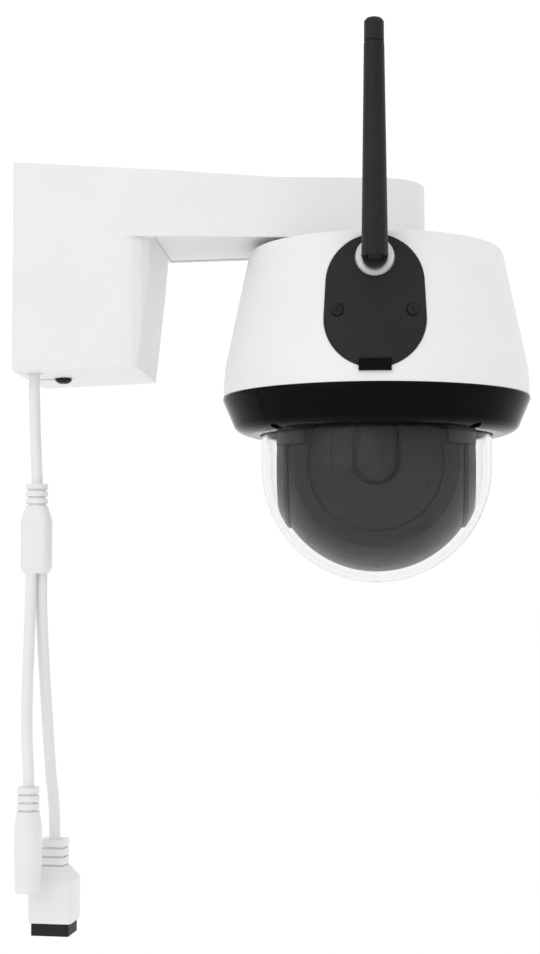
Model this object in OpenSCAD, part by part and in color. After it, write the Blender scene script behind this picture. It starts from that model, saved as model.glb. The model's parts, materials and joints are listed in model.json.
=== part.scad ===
// Wall-mounted pan and tilt dome camera with a wireless antenna and a cable tail.
// Origin: centre of the wall plate's back face. +X points away from the wall, +Z up.

/* [Bracket] */
// Width of the bracket at the wall
plate_w = 66; // [56:1:72]
// Height of the bracket at the wall
plate_h = 85; // [80:1:96]
// Distance from the wall to the pan axis
reach = 146; // [140:1:180]
// Radius of the arm's round end
arm_end_r = 20.5; // [20:0.5:22]
// Wall thickness of the bracket shell
shell_t = 2.6; // [2:0.2:3]

/* [Housing] */
// Radius of the housing at its widest, where the trim ring starts
body_r = 63.2; // [62:0.2:66]
// Radius of the housing at the shoulder
shoulder_r = 52.9; // [51:0.1:54]
// Height from the trim ring to the shoulder
body_h = 60.5; // [60:0.5:61]
// Height of the black trim ring
ring_h = 15.8; // [15:0.2:16]

/* [Dome] */
// Outer radius of the clear dome
dome_r = 47.6; // [47.4:0.1:47.8]
// Wall thickness of the clear dome
dome_t = 2; // [1.6:0.1:2.2]
// Depth of the dome's centre under the trim ring's top
dome_drop = 29; // [28.6:0.1:29.4]

/* [Antenna] */
// Length of the antenna from its hinge to its tip
antenna_len = 90.5; // [80:0.5:110]
// Radius of the antenna at its root
antenna_r = 5.1; // [4.8:0.1:5.4]

/* [Cables] */
// Diameter of each cable
cable_d = 4.6; // [4:0.1:5]

/* [Hidden] */
$fn = 72;

// Levels in the part's frame
plate_bottom_z = -plate_h / 2;
plate_top_z = plate_h / 2;
arm_under_z = 12.2;
arm_end_top_z = 36.7;
cover_screw_x = 104;
cover_screw_y = 12;
arm_flat_x = 106;
ring_z = -51;
ball_z = ring_z - dome_drop;
crown_rise = 1.6;
crown_top = body_h + crown_rise;

// Housing
body_t = 2.4;
shoulder_round = 2.4;
flare_z = 14;
foot_r = body_r - 1;
ring_r = body_r + 0.3;
tab_top_z = 8.6;
plate_seat = 1.5;
plate_screw_x = 14.5;
plate_screw_z = 27.9;
plate_screw_seat = 57.3;
ring_screw_r = 54.6;
ring_screw_angles = [45:90:315];
collar_screw_r = 12;
collar_angles = [45:90:315];
board_post_r = 37;
board_angles = [30:120:270];
chassis_post_r = 46;
chassis_angles = [90:120:330];

// Widths of the bracket in plan
arm_mid_x = 60;
arm_mid_w = 60;
block_top_x = 56.5;
block_bottom_x = 50;
block_lift = 1.8;
plate_t = 2.5;
fit_gap = 0.4;

// Where the cable leaves, and the locking screw next to it
exit_x = 6.6;
exit_y = -20;
lock_x = 15;
lock_y = -1;
lock_z = plate_bottom_z + 0.4;

// Wall screws
wall_hole_r = 2.5;
wall_hole_dy = 36;
wall_hole_dz = 56;

// Antenna
antenna_z = -1.9;
antenna_y = -63.5;
tongue_w = 4.8;
tongue_r = 3.2;
knuckle_front = 2.2;
knuckle_r = 5.05;
pin_r = 0.98;
rod_foot = -1.7;
boss_front = 8.4;

// Pan and tilt head
ball_r = 43;
ball_half_w = 34.5;
ball_t = 2.2;
ball_rear_y = -27.5;
cheek_w = 4.4;
cheek_x = ball_half_w + 0.6;
table_screw_x = cheek_x + cheek_w / 2;
rim_r = 29.5;
tube_r = 9.6;
table_z = 15.4;
gear_module = 0.8;
pan_teeth = 60;
pan_pinion_teeth = 12;
tilt_teeth = 24;
tilt_pinion_teeth = 12;
pan_pitch_r = gear_module * pan_teeth / 2;
pan_pinion_r = gear_module * pan_pinion_teeth / 2;
tilt_pitch_r = gear_module * tilt_teeth / 2;
tilt_pinion_r = gear_module * tilt_pinion_teeth / 2;
axle_r = 5;
lens_r = 15;
tilt_gear_x = 25.2;
run_gap = 0.05;

// Cable routes, hand-placed points
cable_r = cable_d / 2;
splitter_z = -87.4;
jack_z = -209.6;
head_z = -232.8;
head_turn = -5;
rib_groove = 0.9;
main_route = [
    [6.6, -20, -42], [6.6, -20, -45.5], [6.6, -20, -49], [6.7, -20, -52.5], [6.8, -20, -56],
    [6.9, -20, -59.5], [7, -20, -63], [7.1, -20, -66.5], [7.3, -20, -70], [7.4, -20, -73],
    [7.6, -20, -76], [7.7, -20, -79], [7.9, -20, -82], [8, -20, -85], [8, -20, -87.4]
];
power_route = [
    [6.2, -22, -123.8], [6.2, -22, -129], [6.1, -22, -135], [6, -22, -141], [5.8, -22, -147],
    [5.6, -22, -153], [5.4, -22, -159], [5.2, -22, -165], [5.1, -22, -171], [5, -22, -177],
    [5, -22, -183], [5.1, -22, -189], [5.3, -22, -195], [5.7, -22, -201], [5.9, -22, -206],
    [5.9, -22, -209.6]
];
network_route = [
    [9.9, -18.4, -123.8], [9.9, -18.4, -127], [9.9, -18.3, -131], [9.9, -18, -137], [10, -17.4, -144],
    [10.2, -16.6, -151], [10.4, -15.6, -158], [10.6, -14.4, -165], [10.8, -13.1, -172],
    [11, -11.7, -179], [11.2, -10.3, -186], [11.4, -8.9, -193], [11.7, -7.7, -200],
    [12.1, -6.7, -207], [12.7, -5.8, -214], [13.2, -5.2, -221], [13.4, -5, -227],
    [13.4, -5, -232.8]
];
inner_route = [
    [6.6, -20, -35], [6.6, -20, -27], [8.5, -18.5, -18], [13, -14, -8], [20, -8, 4],
    [30, -4, 15], [44, -1, 23], [60, 0, 26.5], [75, 0, 28], [90, 0, 29],
    [105, 0, 29.5], [118, 0, 29.5], [129, 0, 29.3], [137, 0, 27.5], [142.5, 0, 23.5],
    [145.4, 0, 17.5], [146, 0, 11], [146, 0, 4]
];

// ---------- shared shapes ----------

// Tube of radius r swept along the points of a route
module swept_tube(route, r, sides = 10) {
    n = len(route);
    rings = [for (i = [0:n - 1]) let (
        before = route[max(i - 1, 0)],
        after = route[min(i + 1, n - 1)],
        along = (after - before) / norm(after - before),
        side_raw = cross(along, [0.0, 1.0, 0.001]),
        side = side_raw / norm(side_raw),
        other = cross(along, side))
        for (k = [0:sides - 1]) let (a = 360 * k / sides)
            route[i] + r * (cos(a) * side + sin(a) * other)];
    walls = [for (i = [0:n - 2]) for (k = [0:sides - 1]) let (next = (k + 1) % sides)
        [i * sides + k, i * sides + next, (i + 1) * sides + next, (i + 1) * sides + k]];
    first_cap = [for (k = [0:sides - 1]) sides - 1 - k];
    last_cap = [for (k = [0:sides - 1]) (n - 1) * sides + k];
    polyhedron(rings, concat(walls, [first_cap], [last_cap]));
}

// Row of ribs that lets a cable bend, growing down from z = 0. The first child is the core's outline
// and the second the ribs' outline.
module relief_ribs(height, ribs = 3) {
    pitch = height / ribs;
    translate([0, 0, -height]) linear_extrude(height) children(0);
    for (i = [0:ribs - 1])
        translate([0, 0, -(i + 1) * pitch + rib_groove]) linear_extrude(pitch - rib_groove) children(1);
}

// Plan outline with round corners
module rounded_rect(w, d, r) {
    offset(r = r) square([w - 2 * r, d - 2 * r], center = true);
}

// Gear outline with straight-sided teeth
module gear_outline(teeth, clearance = 0.12) {
    pitch_r = gear_module * teeth / 2;
    tip_r = pitch_r + 0.75 * gear_module;
    root_r = pitch_r - 1.1 * gear_module;
    step = 360 / teeth;
    root_half = 0.36 * step - clearance * 30 / pitch_r;
    tip_half = 0.14 * step - clearance * 15 / pitch_r;
    polygon([for (i = [0:teeth - 1]) for (p = [
        [root_r, -root_half], [tip_r, -tip_half], [tip_r, tip_half], [root_r, root_half]])
        p[0] * [cos(i * step + p[1]), sin(i * step + p[1])]]);
}

// Cross-head screw standing on z = 0 with its head up
module screw(head_r, head_h, shaft_r, shaft_l) {
    difference() {
        cylinder(r = head_r, h = head_h);
        for (a = [0, 90])
            rotate(a) translate([0, 0, head_h]) cube([1.3 * head_r, 0.3 * head_r, head_h], center = true);
    }
    translate([0, 0, -shaft_l]) cylinder(r = shaft_r, h = shaft_l);
}

module at_pan_axis() { translate([reach, 0, ring_z]) children(); }
module at_ball() { translate([reach, 0, ball_z]) children(); }
module at_antenna() { translate([reach, antenna_y, antenna_z]) children(); }

// ---------- bracket ----------

// Plan of the arm, drawn in the XY plane
module arm_plan() {
    polygon([[0, -plate_w / 2], [arm_mid_x, -arm_mid_w / 2], [reach, -arm_end_r],
             [reach, arm_end_r], [arm_mid_x, arm_mid_w / 2], [0, plate_w / 2]]);
    translate([reach, 0]) circle(r = arm_end_r);
}

// Plan of the block that hangs under the arm's root
module block_plan() {
    near = [[0, 33], [44, 30.8], [48, 30], [51.5, 28], [54.3, 25.2], [56, 21.8], [block_top_x, 18]];
    polygon(concat([for (p = near) [p[0], -p[1]]], [for (i = [6:-1:0]) near[i]]));
}

// Side outline of the arm, drawn flat with its height along Y
module arm_side(inset = 0) {
    polygon([[-1, arm_under_z], [reach + 30, arm_under_z], [reach + 30, arm_end_top_z - inset],
             [arm_flat_x, arm_end_top_z - inset], [-1, plate_top_z - inset]]);
}

// Side outline of the block
module block_side(inset = 0) {
    polygon([[-1, plate_bottom_z + inset], [block_bottom_x - inset, plate_bottom_z + block_lift + inset],
             [block_top_x - inset, arm_under_z], [block_top_x - inset, arm_under_z + shell_t + 0.4],
             [-1, arm_under_z + shell_t + 0.4]]);
}

// Stands a side outline up on the XZ plane
module stand_up(depth) {
    rotate([90, 0, 0]) linear_extrude(depth, center = true) children();
}

module arm_solid(inset = 0) {
    intersection() {
        translate([0, 0, -60]) linear_extrude(120) offset(delta = -inset) arm_plan();
        stand_up(100) arm_side(inset);
    }
}

module block_solid(inset = 0) {
    intersection() {
        translate([0, 0, -60]) linear_extrude(120) offset(delta = -inset) block_plan();
        stand_up(100) block_side(inset);
    }
}

// Hollow of the arm: it keeps a floor over the block's corners and is open below beyond the block
module arm_hollow() {
    intersection() {
        translate([-shell_t - 0.1, 0, 0]) arm_solid(shell_t);
        translate([-10, -50, arm_under_z + shell_t]) cube([block_top_x + 11, 100, 60]);
    }
    for (drop = [0, 4]) translate([0, 0, -drop]) intersection() {
        arm_solid(shell_t);
        translate([block_top_x + 0.1, -50, -20]) cube([200, 100, 80]);
    }
}

module bracket_shell() {
    color("white") difference() {
        union() {
            arm_solid();
            block_solid();
            // lip beside the locking screw
            translate([3, lock_y - 0.4, plate_bottom_z - 0.35]) cube([8.4, 0.8, 2]);
        }
        arm_hollow();
        translate([-shell_t - 0.1, 0, 0]) block_solid(shell_t);
        // cable exit and locking screw recess in the floor
        translate([exit_x, exit_y, plate_bottom_z - 1]) cylinder(r = 3.4, h = 12);
        translate([lock_x, lock_y, plate_bottom_z - 1]) cylinder(r = 1.8, h = 12);
    }
}

module wall_plate() {
    inner_w = plate_w - 2 * shell_t - 2 * fit_gap;
    inner_h = plate_h - 2 * shell_t - 2 * fit_gap;
    color("silver") difference() {
        union() {
            translate([0, -inner_w / 2, -inner_h / 2]) cube([plate_t, inner_w, inner_h]);
            // lug that takes the locking screw
            translate([0, lock_y - 4.5, plate_bottom_z + 7]) cube([20, 9, plate_t]);
        }
        for (y = [-1, 1], z = [-1, 1])
            translate([-1, y * wall_hole_dy / 2, z * wall_hole_dz / 2])
                rotate([0, 90, 0]) cylinder(r = wall_hole_r, h = plate_t + 2);
        // way in for a cable from inside the wall
        translate([-1, 0, 18]) rotate([0, 90, 0]) cylinder(r = 7, h = plate_t + 2);
        translate([lock_x, lock_y, plate_bottom_z]) cylinder(r = 1.6, h = 20);
    }
}

// Domed safety screw through the floor into the wall plate's lug
module lock_screw() {
    color("dimgray") translate([lock_x, lock_y, lock_z]) {
        rotate([180, 0, 0]) rotate_extrude() polygon([
            [0, 0], [3.5, 0], [3.4, 0.8], [2.7, 1.6], [1.5, 2.1], [0, 2.1]]);
        cylinder(r = 1.5, h = 8.8);
    }
}

module cable_grommet() {
    color("whitesmoke") translate([exit_x, exit_y, plate_bottom_z]) difference() {
        union() {
            translate([0, 0, 0.1]) cylinder(r = 3.3, h = 7.3);
            translate([0, 0, 3.4]) cylinder(r = 4.1, h = 1.2);
        }
        translate([0, 0, -0.5]) cylinder(r = cable_r + 0.05, h = 1.05);
    }
}

// Cover that closes the arm's underside
module arm_cover() {
    color("white") difference() {
        intersection() {
            translate([0, 0, arm_under_z + 0.4]) linear_extrude(2)
                offset(delta = -shell_t - fit_gap) arm_plan();
            translate([block_top_x + 0.3, -50, 0]) cube([200, 100, 40]);
        }
        translate([reach, 0, 0]) cylinder(r = 15.3, h = 40);
        for (y = [-1, 1]) translate([cover_screw_x, y * cover_screw_y, 0]) cylinder(r = 1.7, h = 40);
    }
}

module arm_cover_screws() {
    color("gray") for (y = [-1, 1])
        translate([cover_screw_x, y * cover_screw_y, arm_under_z + 0.3])
            rotate([180, 0, 0]) screw(2.6, 1.2, 1.5, 8);
}

// Collar that clamps the housing under the arm's end
module mounting_collar() {
    color("gainsboro") translate([reach, 0, 0]) difference() {
        union() {
            translate([0, 0, ring_z + crown_top + 0.1]) cylinder(r = 15, h = 13);
            translate([0, 0, arm_under_z + 2.7]) cylinder(r = 17.4, h = 2.5);
        }
        translate([0, 0, 0]) cylinder(r = 9, h = 60);
        for (a = collar_angles) rotate(a) translate([collar_screw_r, 0, 0]) cylinder(r = 1.6, h = 60);
    }
}

module collar_screws() {
    color("gray") translate([reach, 0, 0])
        for (a = collar_angles) rotate(a)
            translate([collar_screw_r, 0, ring_z + crown_top + 13.2]) screw(2.4, 1.6, 1.5, 16.6);
}

module inner_cable() {
    color("white") swept_tube(inner_route, cable_r, 10);
}

// ---------- housing ----------

// Radius of the housing's straight side at a height above the trim ring
function side_r(z) = foot_r - (foot_r - shoulder_r) * (z - flare_z) / (body_h - flare_z);

// Side line from above the shoulder down to below the trim ring's top, moved out by grow
function side_line(grow) = [
    [side_r(body_h + 4) + grow, body_h + 4], [foot_r + grow, flare_z], [foot_r + 0.45 + grow, 11],
    [foot_r + 0.75 + grow, 7.5], [foot_r + 0.95 + grow, 4], [body_r + grow, 0], [body_r + grow, -3]];

// Outline from the pan axis over the crown, round the shoulder and down to the ring
function housing_outline(inset) = concat(
    [[0, crown_top - inset]],
    [for (i = [0:6]) let (r = 18 + (shoulder_r - shoulder_round - 18) * i / 6)
        [r, crown_top - inset - crown_rise * pow(i / 6, 2)]],
    [for (a = [60:-20:0])
        [shoulder_r - shoulder_round + (shoulder_round - inset) * cos(a),
         body_h - shoulder_round + (shoulder_round - inset) * sin(a)]],
    [for (p = side_line(-inset)) if (p[1] >= 0 && p[1] < body_h) p]);

// Outline of the black plate, drawn in the XZ plane
module connector_outline(grow = 0) {
    hull() {
        translate([0, 39.1]) circle(r = 18.9 + grow);
        translate([0, 24.8]) circle(r = 19.6 + grow);
    }
}

// Turns a shape from the XZ plane to the -Y side
module face_forward() {
    rotate([90, 0, 0]) linear_extrude(90) children();
}

// Everything between two offsets of the housing's side
module side_layer(inner, outer) {
    wall = side_line(inner);
    difference() {
        rotate_extrude($fn = 120) polygon(concat([[0, body_h + 4]], side_line(outer), [[0, -3]]));
        rotate_extrude($fn = 120) polygon(concat(
            [[0, body_h + 5], [wall[0][0], body_h + 5]], wall, [[body_r + inner, -4], [0, -4]]));
    }
}

// Posts for the trim ring's screws and for the chassis
module housing_bosses() {
    for (a = ring_screw_angles) rotate(a) {
        translate([ring_screw_r, 0, 0.1]) cylinder(r = 3.2, h = 10);
        translate([ring_screw_r, -2, 0.1]) cube([6.4, 4, 10]);
    }
    for (a = chassis_angles) rotate(a)
        translate([chassis_post_r, 0, 33.1]) cylinder(r = 3, h = body_h - 33.8);
}

module housing_shell() {
    color("white") at_pan_axis() difference() {
        union() {
            difference() {
                union() {
                    difference() {
                        rotate_extrude($fn = 120) polygon(concat(housing_outline(0), [[0, 0]]));
                        translate([0, 0, -0.1])
                            rotate_extrude($fn = 120) polygon(concat(housing_outline(body_t), [[0, 0]]));
                    }
                    housing_bosses();
                }
                // seat for the black plate
                intersection() {
                    face_forward() connector_outline(0.25);
                    side_layer(-plate_seat, 4);
                }
            }
            // flat boss that the antenna's washer sits on
            translate([0, antenna_y + boss_front, antenna_z - ring_z])
                rotate([-90, 0, 0]) cylinder(r = 7.4, h = 4);
        }
        for (a = ring_screw_angles) rotate(a)
            translate([ring_screw_r, 0, -1]) cylinder(r = 1.3, h = 9);
        for (a = chassis_angles) rotate(a)
            translate([chassis_post_r, 0, 30]) cylinder(r = 1.3, h = 14);
        for (x = [-1, 1]) translate([x * plate_screw_x, 0, plate_screw_z])
            rotate([90, 0, 0]) cylinder(r = 1.6, h = 90);
        // cable way through the crown, and collar screw holes
        cylinder(r = 9, h = 100);
        for (a = collar_angles) rotate(a) translate([collar_screw_r, 0, 30]) cylinder(r = 1.6, h = 60);
        // way through for the antenna socket
        translate([0, 0, antenna_z - ring_z]) rotate([90, 0, 0]) cylinder(r = 3.5, h = 90);
        // card slot behind the plate's tab
        translate([-5, -70, 5.6]) cube([10, 20, 2.4]);
    }
}

// Black plate round the antenna, following the housing's side
module connector_plate() {
    color([0.09, 0.09, 0.1]) at_pan_axis() difference() {
        intersection() {
            face_forward() connector_outline();
            side_layer(0.15 - plate_seat, 0.5);
        }
        translate([0, 0, antenna_z - ring_z]) rotate([90, 0, 0]) cylinder(r = 7.9, h = 90);
        for (x = [-1, 1]) translate([x * plate_screw_x, 0, plate_screw_z]) rotate([90, 0, 0]) {
            cylinder(r = 1.6, h = 90);
            translate([0, 0, plate_screw_seat]) cylinder(r = 2.8, h = 30);
        }
        translate([-6.4, -90, -1]) cube([12.8, 90, tab_top_z + 1.15]);
    }
}

// Socket-head screws sunk in the plate
module plate_screws() {
    color([0.06, 0.06, 0.06]) at_pan_axis() for (x = [-1, 1])
        translate([x * plate_screw_x, -plate_screw_seat - 0.05, plate_screw_z])
            rotate([90, 0, 0]) difference() {
                union() {
                    cylinder(r = 2, h = 0.9);
                    translate([0, 0, -5]) cylinder(r = 1.4, h = 5);
                }
                translate([0, 0, 0.3]) cylinder(r = 1, h = 1, $fn = 6);
            }
}

// Rubber tab at the plate's foot, over the card slot
module card_door_tab() {
    color([0.04, 0.04, 0.04]) at_pan_axis() intersection() {
        translate([-6.25, -90, 3.9]) cube([12.5, 90, tab_top_z - 3.9]);
        side_layer(0.1, 1.1);
    }
}

module trim_ring() {
    color([0.03, 0.03, 0.03]) at_pan_axis() difference() {
        rotate_extrude($fn = 120) polygon([
            [51.5, -0.1], [ring_r - 0.3, -0.1], [ring_r, -0.5], [ring_r, -1.4], [ring_r - 4.7, 3.4 - ring_h],
            [ring_r - 5.3, 2.6 - ring_h], [ring_r - 6.5, 1.6 - ring_h], [ring_r - 8.1, 0.8 - ring_h],
            [ring_r - 10, 0.2 - ring_h], [ring_r - 11.2, -ring_h], [dome_r + 0.5, -ring_h],
            [dome_r + 0.5, -9], [51.5, -9]]);
        for (a = ring_screw_angles) rotate(a) {
            translate([ring_screw_r, 0, -20]) cylinder(r = 1.5, h = 30);
            translate([ring_screw_r, 0, -ring_h - 1]) cylinder(r = 2.6, h = 4.2);
        }
    }
}

module ring_screws() {
    color("gray") at_pan_axis() for (a = ring_screw_angles) rotate(a)
        translate([ring_screw_r, 0, 3.1 - ring_h]) rotate([180, 0, 0]) screw(2.4, 1.3, 1.2, 18);
}

module chassis_screws() {
    color("gray") at_pan_axis() for (a = chassis_angles) rotate(a)
        translate([chassis_post_r, 0, 30.9]) rotate([180, 0, 0]) screw(2.6, 1.4, 1.2, 12);
}

module dome_seal() {
    color("dimgray") at_pan_axis() rotate_extrude($fn = 120) polygon([
        [49.6, -3.9], [51.3, -3.9], [51.3, -0.2], [49.6, -0.2]]);
}

module dome_cover() {
    color([0.85, 0.88, 0.9, 0.3]) at_pan_axis() difference() {
        union() {
            translate([0, 0, -dome_drop]) sphere(r = dome_r);
            translate([0, 0, -dome_drop]) cylinder(r = dome_r, h = dome_drop - 4);
            translate([0, 0, -8.8]) cylinder(r = 51.2, h = 4.8);
        }
        translate([0, 0, -dome_drop]) sphere(r = dome_r - dome_t);
        translate([0, 0, -dome_drop]) cylinder(r = dome_r - dome_t, h = 100);
        translate([0, 0, -4]) cylinder(r = 60, h = 60);
    }
}

// ---------- inside the housing ----------

module main_board() {
    color("darkgreen") at_pan_axis() difference() {
        union() {
            translate([0, 0, 44]) cylinder(r = 42, h = 1.6);
            translate([-28, 8, 45.6]) cube([12, 14, 3]);
            translate([12, 14, 45.6]) cube([14, 10, 2]);
            translate([18, -24, 45.6]) cube([10, 10, 4]);
        }
        translate([0, 0, 43]) cylinder(r = 8, h = 10);
        for (a = board_angles) rotate(a) translate([board_post_r, 0, 40]) cylinder(r = 1.7, h = 10);
    }
}

module board_screws() {
    color("gray") at_pan_axis() for (a = board_angles) rotate(a)
        translate([board_post_r, 0, 45.7]) screw(2.6, 1.4, 1.5, 9);
}

module chassis_plate() {
    color("lightgray") at_pan_axis() difference() {
        union() {
            translate([0, 0, 31]) cylinder(r = 51, h = 2);
            for (a = board_angles) rotate(a) translate([board_post_r, 0, 32]) cylinder(r = 3, h = 11.9);
        }
        translate([0, 0, 20]) cylinder(r = 9.1, h = 40);
        for (a = board_angles) rotate(a) translate([board_post_r, 0, 36]) cylinder(r = 1.6, h = 20);
        translate([pan_pitch_r + pan_pinion_r, 0, 20]) cylinder(r = 6, h = 40);
        for (a = chassis_angles) rotate(a) translate([chassis_post_r, 0, 20]) cylinder(r = 1.6, h = 20);
    }
}

module pan_motor() {
    color("silver") at_pan_axis() translate([pan_pitch_r + pan_pinion_r, 0, 0]) {
        translate([0, 0, 33.1]) cylinder(r = 9.5, h = 9);
        translate([0, 0, 24]) cylinder(r = 1.2, h = 9.2);
    }
}

module pan_pinion() {
    color("ivory") at_pan_axis() translate([pan_pitch_r + pan_pinion_r, 0, 24.5]) difference() {
        linear_extrude(4) rotate(180 / pan_pinion_teeth) gear_outline(pan_pinion_teeth);
        translate([0, 0, -1]) cylinder(r = 1.2 + run_gap, h = 8);
    }
}

// Hollow post that the pan table turns on
module pan_post() {
    color("silver") at_pan_axis() difference() {
        union() {
            translate([0, 0, 16]) cylinder(r = 7, h = 20);
            translate([0, 0, 30.2]) cylinder(r = 9, h = 5.6);
            translate([0, 0, 14.2]) cylinder(r = 8.6, h = 1.1);
            translate([0, 0, 14.2]) cylinder(r = 7, h = 5);
        }
        translate([0, 0, 10]) cylinder(r = 4.4, h = 40);
    }
}

module pan_gear() {
    color("ivory") at_pan_axis() translate([0, 0, 24.5]) difference() {
        union() {
            linear_extrude(4) gear_outline(pan_teeth);
            translate([0, 0, -6]) cylinder(r = 12, h = 7);
        }
        translate([0, 0, -10]) cylinder(r = 7 + run_gap, h = 20);
        for (a = [0:90:270]) rotate(a) translate([9.8, 0, -10]) cylinder(r = 0.8, h = 8);
    }
}

module pan_table() {
    color("dimgray") at_pan_axis() difference() {
        translate([0, 0, table_z]) cylinder(r = 43, h = 3);
        translate([0, 0, table_z - 1]) cylinder(r = 7 + run_gap, h = 10);
        for (x = [-1, 1], y = [-10, 10]) translate([x * table_screw_x, y, 10]) cylinder(r = 1.3, h = 20);
    }
}

module table_screws() {
    color("gray") at_pan_axis() for (x = [-1, 1], y = [-10, 10])
        translate([x * table_screw_x, y, table_z + 3.1]) screw(2.2, 1.4, 1.2, 8);
}

// One upright of the yoke, on the +X side of the ball
module yoke_cheek() {
    intersection() {
        union() {
            translate([cheek_x, -17, 0]) cube([cheek_w, 34, dome_drop + table_z - 0.1]);
            translate([cheek_x, 0, 0]) rotate([0, 90, 0]) cylinder(r = 25, h = cheek_w);
        }
        union() {
            sphere(r = ball_r + 1.2);
            translate([0, 0, 14]) cylinder(r = ball_r + 1.4, h = 40);
        }
    }
}

// Shoulder that stiffens an upright above the ball's middle
module yoke_shoulder() {
    difference() {
        intersection() {
            translate([28.4, -37, 8]) cube([cheek_x + cheek_w - 28.4, 74, dome_drop + table_z - 8.1]);
            cylinder(r = ball_r + 1.4, h = 60);
        }
        sphere(r = ball_r + 0.6, $fn = 96);
        translate([0, 0, -1]) cylinder(r = cheek_x - 0.1, h = 30);
    }
}

module yoke() {
    color([0.16, 0.16, 0.17]) at_ball() {
        for (side = [0, 180]) rotate(side) difference() {
            union() {
                yoke_cheek();
                yoke_shoulder();
            }
            for (y = [-10, 10]) translate([table_screw_x, y, 30]) cylinder(r = 1.3, h = 20);
        }
        // axle stubs on which the ball tilts
        for (side = [0, 180]) rotate(side)
            translate([ball_half_w - 3.2, 0, 0]) rotate([0, 90, 0]) cylinder(r = axle_r, h = 4);
    }
}

// Fixed gear on the +X axle, that the tilt motor's pinion climbs
module tilt_fixed_gear() {
    color("ivory") at_ball() translate([tilt_gear_x, 0, 0]) rotate([0, 90, 0]) {
        linear_extrude(4) gear_outline(tilt_teeth);
        translate([0, 0, 4]) cylinder(r = 4, h = 2.1);
    }
}

module at_tilt_pinion() {
    at_ball() translate([0, -tilt_pitch_r - tilt_pinion_r, 0]) rotate([0, 90, 0]) children();
}

module tilt_pinion() {
    color("ivory") at_tilt_pinion() translate([0, 0, tilt_gear_x]) difference() {
        linear_extrude(4) rotate(180 / tilt_pinion_teeth) gear_outline(tilt_pinion_teeth);
        translate([0, 0, -1]) cylinder(r = 1 + run_gap, h = 8);
    }
}

module tilt_motor() {
    color("silver") at_tilt_pinion() {
        translate([0, 0, tilt_gear_x - 12]) cylinder(r = 7, h = 11);
        translate([0, 0, tilt_gear_x - 2]) cylinder(r = 1, h = 6.6);
    }
}

// ---------- ball ----------

// Hollow ball with flat sides and a flat back
module ball_hull(inset) {
    intersection() {
        sphere(r = ball_r - inset, $fn = 96);
        translate([-ball_half_w + inset, ball_rear_y + inset, -60])
            cube([2 * (ball_half_w - inset), 120, 120]);
    }
}

module ball_shell() {
    difference() {
        ball_hull(0);
        ball_hull(ball_t);
        rotate([0, 90, 0]) cylinder(r = axle_r + run_gap, h = 100, center = true);
    }
}

// Shallow seams and channels in the ball's back
module ball_seams() {
    difference() {
        for (a = [0, 43]) rotate([0, a, 0]) translate([-0.25, -50, -50]) cube([0.5, 36, 26]);
        sphere(r = ball_r - 0.6, $fn = 96);
    }
    translate([0, ball_rear_y + 0.6, 0]) rotate([90, 0, 0]) difference() {
        cylinder(r = rim_r - 2.4, h = 2);
        translate([0, 0, -1]) cylinder(r = rim_r - 3.2, h = 4);
    }
    translate([-17.9, ball_rear_y - 1, -8]) cube([1.1, 1.6, 33]);
}

// Upright tube on the ball's back that holds the optics' cable
module ball_tube() {
    intersection() {
        union() {
            translate([0, ball_rear_y + 0.5, 0.8]) cylinder(r = tube_r, h = 60);
            translate([0, ball_rear_y + 0.5, 0.8]) sphere(r = tube_r);
        }
        translate([-20, -60, -20]) cube([40, 60 + ball_rear_y + 0.5, 80]);
        sphere(r = ball_r - 0.2);
    }
}

module ball_rear_shell() {
    color([0.2, 0.2, 0.21]) at_ball() {
        difference() {
            intersection() {
                ball_shell();
                translate([-60, -60, -60]) cube([120, 59.9, 120]);
            }
            ball_seams();
        }
        // raised rim round the back
        translate([0, ball_rear_y + 0.1, 0]) rotate([90, 0, 0]) difference() {
            cylinder(r = rim_r, h = 1.3);
            translate([0, 0, -1]) cylinder(r = rim_r - 2.4, h = 4);
        }
        ball_tube();
    }
}

module ball_front_shell() {
    color([0.16, 0.16, 0.17]) at_ball() difference() {
        intersection() {
            ball_shell();
            translate([-60, 0, -60]) cube([120, 60, 120]);
        }
        translate([0, 10, 0]) rotate([-90, 0, 0]) cylinder(r = lens_r + 0.15, h = 60);
        translate([0, 10, -24]) rotate([-90, 0, 0]) cylinder(r = 6.15, h = 60);
    }
}

module lens_barrel() {
    color([0.08, 0.08, 0.08]) at_ball() difference() {
        union() {
            translate([0, 2, 0]) rotate([-90, 0, 0]) cylinder(r = lens_r - 2, h = 30);
            translate([0, 30, 0]) rotate([-90, 0, 0]) cylinder(r = lens_r, h = 11);
        }
        translate([0, 36, 0]) rotate([-90, 0, 0]) cylinder(r1 = 8, r2 = 13.6, h = 5.1);
    }
}

module lens_glass() {
    color([0.3, 0.35, 0.5, 0.5]) at_ball() intersection() {
        translate([0, 30.2, 0]) sphere(r = 8);
        translate([-20, 36.05, -20]) cube([40, 6, 40]);
    }
}

module light_window() {
    color([0.25, 0.05, 0.05]) at_ball() translate([0, 0, -24]) rotate([-90, 0, 0]) intersection() {
        translate([0, 0, 30]) cylinder(r = 6, h = 6);
        translate([0, -24, 0]) sphere(r = ball_r);
    }
}

module sensor_board() {
    color("darkgreen") at_ball() translate([-14, -1, -14]) cube([28, 1.6, 28]);
}

// ---------- antenna ----------

// Threaded socket through the housing's side, with a thin washer and a nut inside
module antenna_socket() {
    color("silver") at_antenna() rotate([-90, 0, 0]) {
        translate([0, 0, boss_front - 0.7]) cylinder(r = 3.3, h = 14);
        translate([0, 0, boss_front - 0.7]) cylinder(r = 5.7, h = 0.65);
        translate([0, 0, boss_front + 4.1]) cylinder(r = 5.2, h = 2, $fn = 6);
    }
}

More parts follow.
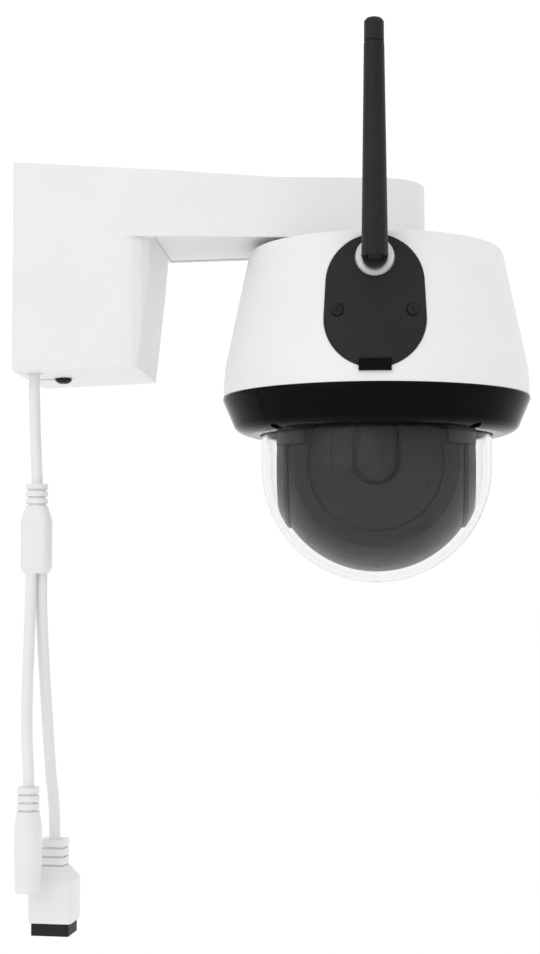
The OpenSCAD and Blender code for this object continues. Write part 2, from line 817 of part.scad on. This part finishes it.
// Round base that turns on the socket, with a tongue for the rod
module antenna_knuckle() {
    color([0.05, 0.05, 0.05]) at_antenna() difference() {
        union() {
            rotate([0, 90, 0]) cylinder(r = tongue_r, h = tongue_w, center = true);
            translate([-tongue_w / 2, 0, -tongue_r]) cube([tongue_w, knuckle_front + 0.5, 2 * tongue_r]);
            rotate([-90, 0, 0]) translate([0, 0, knuckle_front])
                cylinder(r = knuckle_r, h = boss_front - 0.8 - knuckle_front);
        }
        rotate([0, 90, 0]) cylinder(r = pin_r + 0.02, h = 20, center = true);
    }
}

module antenna_pin() {
    color("silver") at_antenna() rotate([0, 90, 0]) cylinder(r = pin_r, h = 9, center = true);
}

// Tapered rod whose foot is a fork over the tongue, closed on its front
module antenna_rod() {
    cap_start = antenna_len - 10;
    slot_w = tongue_w + 0.3;
    fold_r = knuckle_front - 0.15;
    color([0.06, 0.06, 0.06]) at_antenna() difference() {
        translate([0, 0, rod_foot]) cylinder(r1 = antenna_r, r2 = 3.95, h = cap_start - rod_foot);
        translate([-slot_w / 2, -tongue_r - 0.3, -10]) cube([slot_w, 20, tongue_r + 10.3]);
        // room for the round base, upright and as the rod folds
        translate([-10, fold_r, -10]) cube([20, 10, knuckle_r + 10.6]);
        difference() {
            translate([-10, 0, -10]) cube([20, 10, 10]);
            rotate([0, 90, 0]) cylinder(r = fold_r, h = 30, center = true);
        }
        rotate([0, 90, 0]) cylinder(r = pin_r + run_gap, h = 20, center = true);
    }
}

module antenna_cap() {
    color([0.07, 0.07, 0.07]) at_antenna() rotate_extrude() polygon([
        [0, antenna_len - 9.95], [3.5, antenna_len - 9.95], [3.5, antenna_len - 9.3],
        [3.85, antenna_len - 9.2], [3.8, antenna_len - 1.6], [3, antenna_len - 0.5],
        [1.6, antenna_len], [0, antenna_len]]);
}

// ---------- cables ----------

module main_cable() { color("white") swept_tube(main_route, cable_r); }
module power_cable() { color("white") swept_tube(power_route, cable_r); }
module network_cable() { color("white") swept_tube(network_route, cable_r); }

module cable_splitter() {
    color("white") translate([8, -20, splitter_z]) {
        relief_ribs(8.9) {
            circle(r = 3.6);
            circle(r = 4.5);
        }
        hull() {
            translate([0, 0, -9]) linear_extrude(0.2) rounded_rect(8.6, 7.8, 3.2);
            translate([0, 0, -34]) linear_extrude(19.2) rounded_rect(12.2, 10.2, 3.4);
            translate([0, 0, -36.4]) linear_extrude(0.2) rounded_rect(9.6, 8.8, 3.4);
        }
    }
}

module power_jack() {
    color("white") translate([5.9, -22, jack_z]) difference() {
        union() {
            relief_ribs(9.7) {
                circle(r = 3.5);
                circle(r = 4.4);
            }
            translate([0, 0, -15.8]) cylinder(r1 = 5.5, r2 = 4.6, h = 6.2);
            translate([0, 0, -27.6]) cylinder(r = 5.5, h = 11.9);
            translate([0, 0, -41.8]) cylinder(r1 = 5, r2 = 5.5, h = 14.3);
        }
        translate([0, 0, -42.3]) cylinder(r = 2.75, h = 12);
    }
}

module power_jack_pin() {
    color("silver") translate([5.9, -22, jack_z - 40.8]) {
        cylinder(r = 1, h = 10.5);
        translate([0, 0, 9]) cylinder(r = 2.7, h = 1.5);
    }
}

module at_network_head() { translate([13.4, -5, head_z]) rotate(head_turn) children(); }

module network_head() {
    color("white") at_network_head() {
        relief_ribs(10.7) {
            rounded_rect(8.6, 7.6, 1.2);
            rounded_rect(10.4, 9.4, 1.5);
        }
        hull() {
            translate([0, 0, -10.8]) linear_extrude(0.2) rounded_rect(10.4, 9.4, 1.5);
            translate([0, 0, -17.9]) linear_extrude(2) rounded_rect(18, 16, 1.6);
        }
        difference() {
            translate([0, 0, -33]) linear_extrude(15.2) rounded_rect(18, 16, 1.6);
            translate([0, 0, -34]) linear_extrude(15) square([16, 14], center = true);
        }
    }
}

module network_socket() {
    color([0.05, 0.05, 0.05]) at_network_head() difference() {
        translate([0, 0, -38.2]) linear_extrude(19.1) rounded_rect(15.8, 13.8, 0.8);
        translate([-5.9, -4.2, -38.7]) cube([11.8, 8.4, 14]);
        translate([-3, 4, -38.7]) cube([6, 1.7, 12]);
    }
}

wall_plate();
bracket_shell();
arm_cover();
arm_cover_screws();
lock_screw();
cable_grommet();
mounting_collar();
collar_screws();
inner_cable();
housing_shell();
connector_plate();
plate_screws();
card_door_tab();
trim_ring();
ring_screws();
dome_seal();
dome_cover();
chassis_screws();
main_board();
board_screws();
chassis_plate();
pan_motor();
pan_post();
pan_gear();
pan_pinion();
pan_table();
yoke();
table_screws();
tilt_fixed_gear();
tilt_motor();
tilt_pinion();
ball_rear_shell();
ball_front_shell();
lens_barrel();
lens_glass();
sensor_board();
light_window();
antenna_socket();
antenna_knuckle();
antenna_pin();
antenna_rod();
antenna_cap();
main_cable();
cable_splitter();
power_cable();
network_cable();
power_jack();
power_jack_pin();
network_head();
network_socket();
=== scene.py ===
import json
from math import pi, radians

import bpy
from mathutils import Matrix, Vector


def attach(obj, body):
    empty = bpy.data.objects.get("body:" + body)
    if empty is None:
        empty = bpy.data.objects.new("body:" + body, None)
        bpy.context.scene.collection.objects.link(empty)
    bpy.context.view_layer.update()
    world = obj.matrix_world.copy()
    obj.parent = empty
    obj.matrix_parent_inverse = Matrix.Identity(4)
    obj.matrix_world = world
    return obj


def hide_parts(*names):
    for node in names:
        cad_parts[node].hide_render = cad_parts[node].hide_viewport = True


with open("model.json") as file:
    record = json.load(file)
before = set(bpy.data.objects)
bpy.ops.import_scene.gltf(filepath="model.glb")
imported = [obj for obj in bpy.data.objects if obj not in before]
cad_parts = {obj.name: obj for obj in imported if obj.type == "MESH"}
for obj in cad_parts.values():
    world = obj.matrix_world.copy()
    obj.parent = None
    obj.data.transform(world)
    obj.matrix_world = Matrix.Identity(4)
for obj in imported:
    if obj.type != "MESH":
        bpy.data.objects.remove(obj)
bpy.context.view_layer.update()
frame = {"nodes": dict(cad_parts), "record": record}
nodes = frame["nodes"]

# ---------- sizes in metres ----------
MM = 0.001
CABLE_D = 4.6 * MM
FLOOR_Z = -1.3
FLOOR_RADIUS = 50

# ---------- cable routes in millimetres, the same as in part.scad ----------
MAIN_ROUTE = [
    (6.6, -20, -42), (6.6, -20, -45.5), (6.6, -20, -49), (6.7, -20, -52.5), (6.8, -20, -56),
    (6.9, -20, -59.5), (7, -20, -63), (7.1, -20, -66.5), (7.3, -20, -70), (7.4, -20, -73),
    (7.6, -20, -76), (7.7, -20, -79), (7.9, -20, -82), (8, -20, -85), (8, -20, -87.4),
]
POWER_ROUTE = [
    (6.2, -22, -123.8), (6.2, -22, -129), (6.1, -22, -135), (6, -22, -141), (5.8, -22, -147),
    (5.6, -22, -153), (5.4, -22, -159), (5.2, -22, -165), (5.1, -22, -171), (5, -22, -177),
    (5, -22, -183), (5.1, -22, -189), (5.3, -22, -195), (5.7, -22, -201), (5.9, -22, -206),
    (5.9, -22, -209.6),
]
NETWORK_ROUTE = [
    (9.9, -18.4, -123.8), (9.9, -18.4, -127), (9.9, -18.3, -131), (9.9, -18, -137),
    (10, -17.4, -144), (10.2, -16.6, -151), (10.4, -15.6, -158), (10.6, -14.4, -165),
    (10.8, -13.1, -172), (11, -11.7, -179), (11.2, -10.3, -186), (11.4, -8.9, -193),
    (11.7, -7.7, -200), (12.1, -6.7, -207), (12.7, -5.8, -214), (13.2, -5.2, -221),
    (13.4, -5, -227), (13.4, -5, -232.8),
]


# ---------- camera ----------
CAMERA_PLACE = (0.1488, -0.6972, -0.1235)
CAMERA_TURN_LEFT = radians(3.85)
CAMERA_TILT_UP = radians(3.26)
LENS_MM = 63.47


def make_camera():
    """Camera on the antenna's side, tilted slightly up."""
    data = bpy.data.cameras.new("camera")
    data.sensor_width = 36
    data.lens = LENS_MM
    data.clip_start = 0.01
    data.clip_end = 60
    camera = bpy.data.objects.new("camera", data)
    bpy.context.scene.collection.objects.link(camera)
    bpy.context.scene.camera = camera
    camera.location = CAMERA_PLACE
    camera.rotation_euler = (pi / 2 + CAMERA_TILT_UP, 0, CAMERA_TURN_LEFT)


# ---------- cords ----------
def make_cord(name, route):
    """A round tube along the route. Its radius is set at the points, as the bevel is one metre."""
    curve = bpy.data.curves.new(name, "CURVE")
    curve.dimensions = "3D"
    curve.bevel_depth = 1.0
    curve.bevel_resolution = 6
    curve.resolution_u = 4
    curve.use_fill_caps = True
    spline = curve.splines.new("BEZIER")
    spline.bezier_points.add(len(route) - 1)
    for point, place in zip(spline.bezier_points, route):
        point.co = Vector(place) * MM
        point.radius = CABLE_D / 2
        point.handle_left_type = "AUTO"
        point.handle_right_type = "AUTO"
    obj = bpy.data.objects.new(name, curve)
    bpy.context.scene.collection.objects.link(obj)
    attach(obj, "base")
    return obj


def make_cords():
    plan = [
        ("main_cord", "main_cable", MAIN_ROUTE, ["cable_splitter"]),
        ("power_cord", "power_cable", POWER_ROUTE, ["power_jack", "power_jack_pin"]),
        ("network_cord", "network_cable", NETWORK_ROUTE, ["network_head", "network_socket"]),
    ]
    cords = []
    for name, node, route, with_pieces in plan:
        cord = make_cord(name, route)
        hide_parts(node)
        cords.append(cord)
    return cords


# ---------- material helpers ----------
def new_material(name):
    material = bpy.data.materials.new(name)
    material.use_nodes = True
    tree = material.node_tree
    return material, tree, tree.nodes["Principled BSDF"]


def noise(tree, scale, detail=4, roughness=0.55, stretch=None):
    place = tree.nodes.new("ShaderNodeTexCoord")
    texture = tree.nodes.new("ShaderNodeTexNoise")
    texture.inputs["Scale"].default_value = scale
    texture.inputs["Detail"].default_value = detail
    texture.inputs["Roughness"].default_value = roughness
    if stretch is None:
        tree.links.new(place.outputs["Object"], texture.inputs["Vector"])
        return texture
    mapping = tree.nodes.new("ShaderNodeMapping")
    mapping.inputs["Scale"].default_value = stretch
    tree.links.new(place.outputs["Object"], mapping.inputs["Vector"])
    tree.links.new(mapping.outputs["Vector"], texture.inputs["Vector"])
    return texture


def remap(tree, source, limits, interpolation="LINEAR"):
    """Maps source from limits[0]..limits[1] to limits[2]..limits[3]."""
    node = tree.nodes.new("ShaderNodeMapRange")
    node.interpolation_type = interpolation
    for name, limit in zip(("From Min", "From Max", "To Min", "To Max"), limits):
        node.inputs[name].default_value = limit
    tree.links.new(source, node.inputs["Value"])
    return node.outputs["Result"]


def spread(tree, source, low, high, target):
    """Feeds noise into target, spread from low to high."""
    tree.links.new(remap(tree, source, (0.3, 0.7, low, high)), target)


def ramp(tree, source, first, last):
    """Colour ramp between two stops, each a position and a colour."""
    node = tree.nodes.new("ShaderNodeValToRGB")
    for element, (position, colour) in zip(node.color_ramp.elements, (first, last)):
        element.position = position
        element.color = (*colour, 1)
    tree.links.new(source, node.inputs["Fac"])
    return node.outputs["Color"]


def tint(tree, shader, source, dark, light):
    """Base colour that drifts between two colours with source."""
    colour = ramp(tree, source, (0.35, dark), (0.65, light))
    tree.links.new(colour, shader.inputs["Base Color"])


def bump(tree, shader, source, strength, distance):
    node = tree.nodes.new("ShaderNodeBump")
    node.inputs["Strength"].default_value = strength
    node.inputs["Distance"].default_value = distance
    tree.links.new(source, node.inputs["Height"])
    tree.links.new(node.outputs["Normal"], shader.inputs["Normal"])


def grey(level):
    return (level, level, level)


def plain(name, dark, light, rough, grain, depth, metallic=0.0, specular=0.5, strength=0.5):
    """A solid-coloured surface with fine grain and patches of slightly different gloss.

    The grain is a noise scale and the depth is in millimetres.
    """
    material, tree, shader = new_material(name)
    shader.inputs["Metallic"].default_value = metallic
    shader.inputs["Specular IOR Level"].default_value = specular
    patches = noise(tree, 45, detail=5)
    tint(tree, shader, patches.outputs["Fac"], dark, light)
    spread(tree, patches.outputs["Fac"], rough[0], rough[1], shader.inputs["Roughness"])
    bump(tree, shader, noise(tree, grain, detail=2).outputs["Fac"], strength, depth * MM)
    return material


PLAIN_LOOKS = {
    "white_paint": dict(
        dark=(0.765, 0.765, 0.76), light=(0.78, 0.78, 0.775), rough=(0.42, 0.5),
        grain=1500, depth=0.03, strength=0.25),
    "white_cable": dict(
        dark=(0.74, 0.74, 0.73), light=(0.76, 0.76, 0.75), rough=(0.45, 0.55),
        grain=900, depth=0.03, strength=0.3),
    "bright_steel": dict(
        dark=grey(0.55), light=grey(0.65), rough=(0.24, 0.36),
        grain=2500, depth=0.02, metallic=1.0, strength=0.3),
    "dark_steel": dict(
        dark=grey(0.008), light=grey(0.012), rough=(0.3, 0.42),
        grain=2500, depth=0.02, specular=0.2, strength=0.3),
    "cast_alloy": dict(
        dark=grey(0.45), light=grey(0.55), rough=(0.4, 0.52),
        grain=1200, depth=0.05, metallic=1.0),
    "black_plastic": dict(
        dark=grey(0.012), light=grey(0.015), rough=(0.5, 0.6),
        grain=2600, depth=0.08, specular=0.2),
    "black_gloss": dict(
        dark=grey(0.002), light=grey(0.003), rough=(0.08, 0.12),
        grain=700, depth=0.01, specular=0.05, strength=0.1),
    "black_rubber": dict(
        dark=grey(0.010), light=grey(0.014), rough=(0.42, 0.5),
        grain=1800, depth=0.04, specular=0.2),
    "circuit_board": dict(
        dark=(0.01, 0.08, 0.03), light=(0.015, 0.11, 0.04), rough=(0.35, 0.45),
        grain=900, depth=0.03),
    "gear_plastic": dict(
        dark=(0.7, 0.67, 0.58), light=(0.76, 0.73, 0.65), rough=(0.42, 0.5),
        grain=900, depth=0.03),
    "grey_plastic": dict(
        dark=grey(0.016), light=grey(0.019), rough=(0.38, 0.46),
        grain=2600, depth=0.01, specular=0.27, strength=0.05),
    "lamp_window": dict(
        dark=(0.03, 0.004, 0.004), light=(0.035, 0.005, 0.005), rough=(0.08, 0.12),
        grain=900, depth=0.02),
}


def make_materials():
    made = {name: plain(name, **look) for name, look in PLAIN_LOOKS.items()}
    made["clear_dome"] = clear_material()
    made["lens_glass"] = glass_material()
    return made


def clear_material():
    """Clear moulded dome with faint wipe marks in its gloss; its base colour greys where it is seen
    edge on, a painted shade that stands in for the dark refraction lines at its rim.
    """
    material, tree, shader = new_material("clear_dome")
    shader.inputs["Transmission Weight"].default_value = 1.0
    shader.inputs["IOR"].default_value = 1.22
    # painted shade: the base colour turns grey as the surface turns edge on to the view, in place of
    # real refraction darkening
    facing = tree.nodes.new("ShaderNodeLayerWeight")
    facing.inputs["Blend"].default_value = 0.5
    clear = (0.5, grey(0.985))
    edge_on_painted_shade = (0.93, (0.8, 0.81, 0.81))
    tree.links.new(ramp(tree, facing.outputs["Facing"], clear, edge_on_painted_shade), shader.inputs["Base Color"])
    wipes = noise(tree, 9, detail=6, stretch=(1, 1, 3))
    spread(tree, wipes.outputs["Fac"], 0.0, 0.02, shader.inputs["Roughness"])
    return material


def glass_material():
    """Coated lens glass, faintly blue."""
    material, tree, shader = new_material("lens_glass")
    shader.inputs["Base Color"].default_value = (0.75, 0.82, 0.95, 1)
    shader.inputs["Transmission Weight"].default_value = 1.0
    shader.inputs["IOR"].default_value = 1.6
    spread(tree, noise(tree, 30).outputs["Fac"], 0.0, 0.02, shader.inputs["Roughness"])
    return material


# ---------- looks of the CAD nodes ----------
def soften(obj, width, segments=3, angle=28):
    modifier = obj.modifiers.new("soft_edges", "BEVEL")
    modifier.width = width
    modifier.segments = segments
    modifier.limit_method = "ANGLE"
    modifier.angle_limit = radians(angle)
    modifier.harden_normals = True


def smooth(obj, angle=30):
    obj.data.shade_smooth()
    obj.data.set_sharp_from_angle(angle=radians(angle))


# widths of the softened edges, in millimetres
EDGE_WIDTHS = {
    "bracket_shell": 1.8,
    "wall_plate": 0.3,
    "housing_shell": 0.4,
    "connector_plate": 0.4,
    "card_door_tab": 0.4,
    "cable_splitter": 0.5,
    "power_jack": 0.4,
    "network_head": 0.5,
    "network_socket": 0.3,
    "antenna_rod": 0.3,
    "antenna_knuckle": 0.3,
    "yoke": 0.6,
    "ball_rear_shell": 0.3,
    "cable_grommet": 0.4,
}


def dress_nodes(materials):
    """Gives each visible CAD node its slot's material and softens the edges that show."""
    slots = {s["node"]: s["material_slot"] for s in frame["record"]["subparts"]}
    for name, obj in nodes.items():
        if obj.hide_render:
            continue
        obj.data.materials.clear()
        obj.data.materials.append(materials[slots[name]])
        smooth(obj)
        if name in EDGE_WIDTHS:
            soften(obj, EDGE_WIDTHS[name] * MM)


# ---------- light and stage ----------
def studio_level(tree, direction):
    """Even white all round, a little dimmer towards the arm's two ends."""
    split = tree.nodes.new("ShaderNodeSeparateXYZ")
    square = tree.nodes.new("ShaderNodeMath")
    square.operation = "MULTIPLY"
    tree.links.new(direction, split.inputs["Vector"])
    tree.links.new(split.outputs["X"], square.inputs[0])
    tree.links.new(split.outputs["X"], square.inputs[1])
    return remap(tree, square.outputs["Value"], (0.1, 0.9, 1.03, 0.88))


def glow_level(tree, direction):
    """Soft glow from the upper left of the camera's side."""
    towards = tree.nodes.new("ShaderNodeVectorMath")
    towards.operation = "DOT_PRODUCT"
    towards.inputs[1].default_value = Vector((-0.55, -0.78, 0.3)).normalized()
    tree.links.new(direction, towards.inputs[0])
    return remap(tree, towards.outputs["Value"], (0.8, 0.98, 0, 0.6), "SMOOTHSTEP")


def make_world():
    world = bpy.data.worlds.new("studio")
    bpy.context.scene.world = world
    world.use_nodes = True
    tree = world.node_tree
    background = tree.nodes["Background"]
    background.inputs["Color"].default_value = (1, 1, 1, 1)
    direction = tree.nodes.new("ShaderNodeTexCoord").outputs["Generated"]
    total = tree.nodes.new("ShaderNodeMath")
    total.operation = "ADD"
    tree.links.new(studio_level(tree, direction), total.inputs[0])
    tree.links.new(glow_level(tree, direction), total.inputs[1])
    tree.links.new(total.outputs["Value"], background.inputs["Strength"])


def area_light(name, place, aim, size, power):
    """A soft panel that lights the object but is not seen in the gloss or through the dome."""
    data = bpy.data.lights.new(name, "AREA")
    data.shape = "RECTANGLE"
    data.size = size[0]
    data.size_y = size[1]
    data.energy = power
    obj = bpy.data.objects.new(name, data)
    bpy.context.scene.collection.objects.link(obj)
    obj.location = place
    direction = Vector(aim) - Vector(place)
    obj.rotation_euler = direction.to_track_quat("-Z", "Y").to_euler()
    obj.visible_glossy = False
    obj.visible_transmission = False
    obj.visible_camera = False


def make_lights():
    area_light("top", place=(0.1, -0.9, 1.5), aim=(0.1, 0, 0), size=(1.4, 1.4), power=1)
    area_light("low_back", place=(0.55, 0.75, -0.55), aim=(0.07, 0, 0), size=(0.7, 0.7), power=1.7)


def make_stage():
    """Plain pale floor, with the display transform that keeps whites white."""
    bpy.context.scene.view_settings.view_transform = "Standard"
    bpy.ops.mesh.primitive_circle_add(
        vertices=96, radius=FLOOR_RADIUS, fill_type="NGON", location=(0.1, 0, FLOOR_Z))
    floor = bpy.context.object
    floor.name = "floor"
    material, _, shader = new_material("pale_floor")
    shader.inputs["Base Color"].default_value = (0.97, 0.97, 0.97, 1)
    shader.inputs["Roughness"].default_value = 1.0
    shader.inputs["Specular IOR Level"].default_value = 0.0
    floor.data.materials.append(material)


make_camera()
cords = make_cords()
materials = make_materials()
dress_nodes(materials)
for cord in cords:
    cord.data.materials.append(materials["white_cable"])
make_world()
make_lights()
make_stage()
